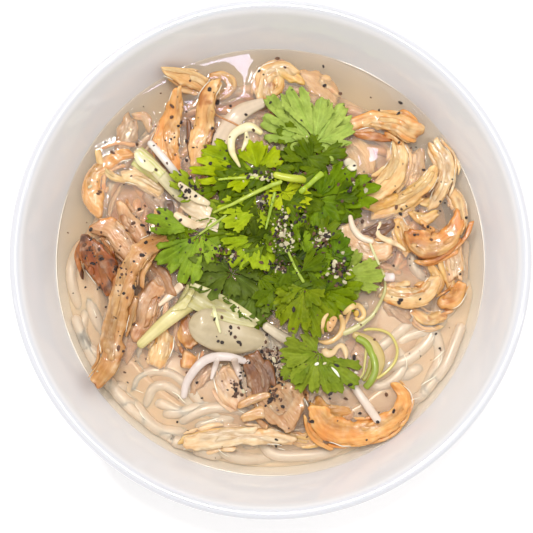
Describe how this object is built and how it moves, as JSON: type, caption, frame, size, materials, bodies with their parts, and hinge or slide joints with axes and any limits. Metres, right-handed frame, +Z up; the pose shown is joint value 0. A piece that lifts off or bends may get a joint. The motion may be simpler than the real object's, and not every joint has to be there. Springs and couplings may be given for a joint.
{
  "type": "pho noodle soup",
  "caption": "Bowl of pho noodle soup with shredded chicken, rice noodles, clear broth, bean sprouts, onion and coriander leaves.",
  "frame": {"origin": "middle of the underside of the bowl's foot ring", "axes": "+Z up out of the bowl's mouth, -Y towards the person eating, +X to their right"},
  "size_m": [0.21, 0.21, 0.0778],
  "materials": {
    "glazed_white": "glossy glaze",
    "broth": "clear liquid",
    "noodle": "wet, slightly see-through",
    "chicken_meat": "moist cooked meat",
    "chicken_browned": "moist browned skin",
    "coriander": "fresh leaf",
    "onion": "wet, slightly see-through",
    "green_stalk": "wet stalk"
  },
  "bodies": {
    "root": {"bowl": "glazed_white", "broth": "broth", "noodles": "noodle", "chicken_01": "chicken_meat", "chicken_02": "chicken_meat", "chicken_03": "chicken_meat", "chicken_04": "chicken_meat", "chicken_05": "chicken_meat", "chicken_06": "chicken_meat", "chicken_07": "chicken_meat", "chicken_08": "chicken_meat", "chicken_09": "chicken_browned", "chicken_10": "chicken_meat", "chicken_11": "chicken_meat", "chicken_12": "chicken_meat", "chicken_13": "chicken_meat", "chicken_14": "chicken_meat", "chicken_15": "chicken_meat", "chicken_16": "chicken_meat", "chicken_17": "chicken_meat", "chicken_18": "chicken_meat", "chicken_19": "chicken_meat", "chicken_20": "chicken_meat", "chicken_21": "chicken_meat", "chicken_22": "chicken_meat", "chicken_23": "chicken_meat", "chicken_24": "chicken_meat", "chicken_25": "chicken_meat", "chicken_26": "chicken_meat", "chicken_27": "chicken_meat", "chicken_28": "chicken_meat", "chicken_29": "chicken_meat", "chicken_30": "chicken_meat", "leaf_01": "coriander", "leaf_02": "coriander", "leaf_03": "coriander", "leaf_04": "coriander", "leaf_05": "coriander", "leaf_06": "coriander", "leaf_07": "coriander", "leaf_08": "coriander", "leaf_09": "coriander", "leaf_10": "coriander", "leaf_11": "coriander", "leaf_12": "coriander", "leaf_13": "coriander", "leaf_14": "coriander", "leaf_15": "coriander", "leaf_16": "coriander", "sprout_01": "onion", "sprout_02": "onion", "sprout_03": "onion", "sprout_04": "onion", "onion_01": "onion", "onion_wedge": "onion", "stalk_01": "green_stalk", "stalk_02": "green_stalk", "stem_01": "green_stalk", "stem_02": "green_stalk", "scallion_01": "green_stalk"}
  },
  "joints": []
}
